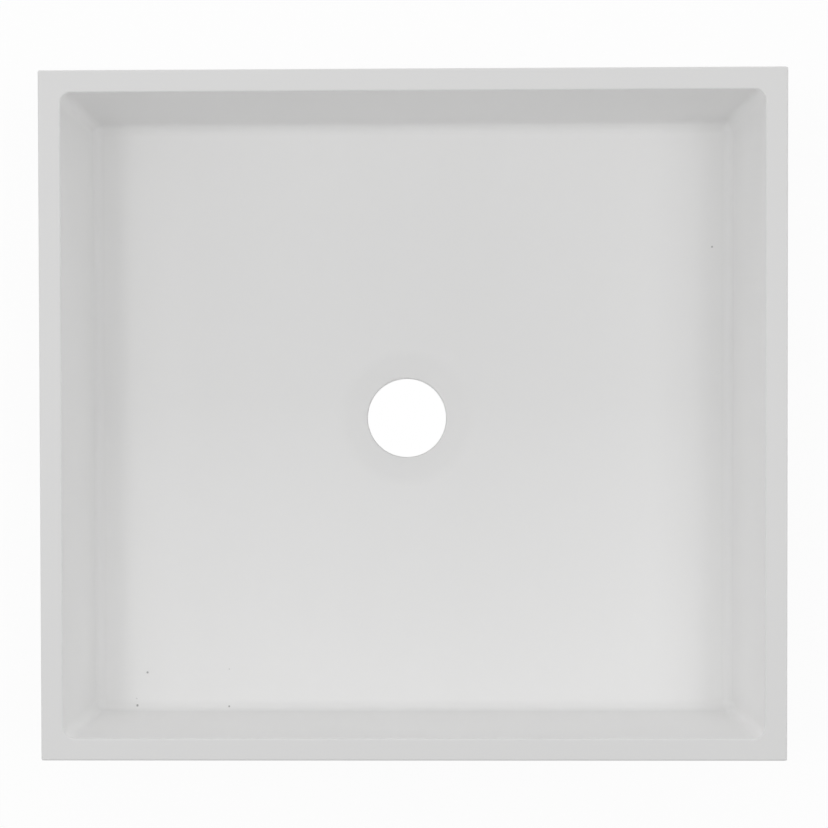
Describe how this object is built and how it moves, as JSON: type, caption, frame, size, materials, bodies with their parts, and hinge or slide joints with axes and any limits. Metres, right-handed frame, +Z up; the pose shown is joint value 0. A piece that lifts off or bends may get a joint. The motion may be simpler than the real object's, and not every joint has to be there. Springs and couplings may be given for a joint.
{
  "type": "washbasin",
  "caption": "Rectangular box washbasin with a flat rim, upright walls, a flat floor with a tight fillet all round and a round waste hole in a shallow dish.",
  "frame": {"origin": "on the counter, under the middle of the outside", "axes": "+Z up out of the bowl, +X to the right of the user, +Y away from the user"},
  "size_m": [0.4, 0.37, 0.135],
  "materials": {
    "sanded_sheet": "matte",
    "sawn_backing": "matte"
  },
  "bodies": {
    "root": {"floor_panel": "sanded_sheet", "front_wall": "sanded_sheet", "back_wall": "sanded_sheet", "left_wall": "sanded_sheet", "right_wall": "sanded_sheet", "left_floor_fillet": "sanded_sheet", "right_floor_fillet": "sanded_sheet", "front_floor_fillet": "sanded_sheet", "back_floor_fillet": "sanded_sheet", "front_left_corner_fillet": "sanded_sheet", "front_right_corner_fillet": "sanded_sheet", "back_left_corner_fillet": "sanded_sheet", "back_right_corner_fillet": "sanded_sheet", "waste_backing_ring": "sawn_backing", "front_cleat": "sawn_backing", "back_cleat": "sawn_backing", "left_cleat": "sawn_backing", "right_cleat": "sawn_backing", "front_left_corner_block": "sawn_backing", "front_right_corner_block": "sawn_backing", "back_left_corner_block": "sawn_backing", "back_right_corner_block": "sawn_backing"}
  },
  "joints": []
}
